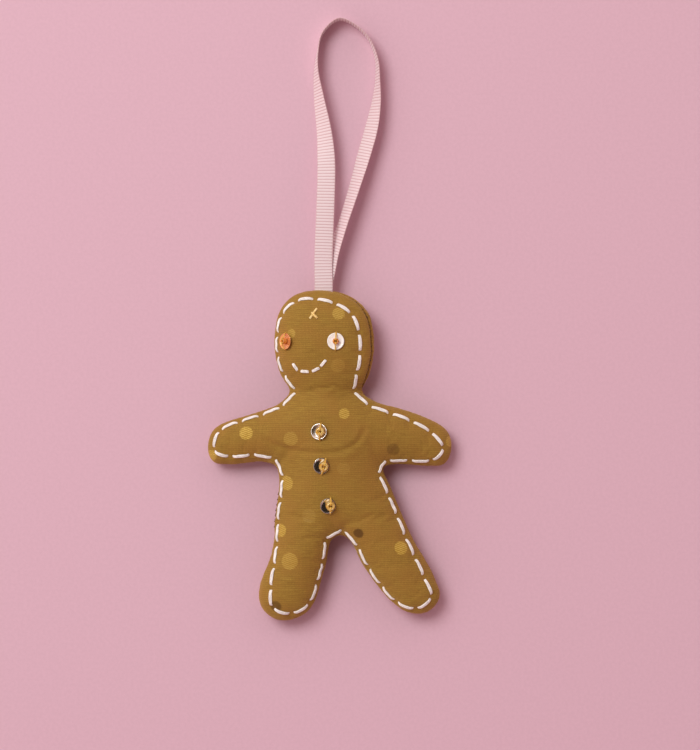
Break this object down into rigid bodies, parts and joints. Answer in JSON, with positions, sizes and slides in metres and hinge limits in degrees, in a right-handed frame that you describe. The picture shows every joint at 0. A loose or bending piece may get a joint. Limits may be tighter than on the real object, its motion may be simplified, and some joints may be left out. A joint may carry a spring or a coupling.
{
  "type": "fabric gingerbread man ornament",
  "caption": "Padded fabric gingerbread man ornament with running-stitch edge, sequin and bead eyes and buttons, and a ribbon loop for hanging.",
  "frame": {"origin": "under the middle of the padded figure, on the surface that its back lies on", "axes": "+Z out of the figure's front, +Y along the body towards the head and the ribbon, +X to the right as seen from the front"},
  "size_m": [0.0856, 0.2107, 0.0201],
  "materials": {
    "cloth": "khaki brown woven cotton with a faint sheen",
    "stuffing": "white polyester fibre",
    "white_floss": "white cotton embroidery floss",
    "gold_floss": "pale gold floss",
    "bead_thread": "amber sewing thread",
    "bead": "amber glass seed bead",
    "silver_sequin": "silvered sequin",
    "pearl_sequin": "white pearl sequin",
    "copper_sequin": "copper sequin",
    "ribbon": "pale pink grosgrain"
  },
  "bodies": {
    "figure": {"back_panel": "cloth", "front_panel": "cloth", "head_stuffing": "stuffing", "trunk_stuffing": "stuffing", "left_arm_stuffing": "stuffing", "right_arm_stuffing": "stuffing", "left_leg_stuffing": "stuffing", "right_leg_stuffing": "stuffing", "outline_stitching": "white_floss", "smile_stitching": "white_floss", "forehead_cross_stitch": "gold_floss", "left_eye_sequin": "copper_sequin", "left_eye_bead": "bead", "left_eye_thread": "bead_thread", "right_eye_sequin": "pearl_sequin", "right_eye_bead": "bead", "right_eye_thread": "bead_thread", "top_button_sequin": "silver_sequin", "top_button_bead": "bead", "top_button_thread": "bead_thread", "middle_button_sequin": "silver_sequin", "middle_button_bead": "bead", "middle_button_thread": "bead_thread", "bottom_button_sequin": "silver_sequin", "bottom_button_bead": "bead", "bottom_button_thread": "bead_thread", "ribbon_front_end": "ribbon", "ribbon_back_end": "ribbon"},
    "ribbon": {"ribbon_loop": "ribbon"}
  },
  "joints": [
    {"name": "ribbon_swing", "type": "hinge", "parent": "figure", "child": "ribbon", "pos_m": [-0.00176, 0.05944, 0.0073], "axis": [1, 0, 0], "range_deg": [-100, 100]}
  ]
}
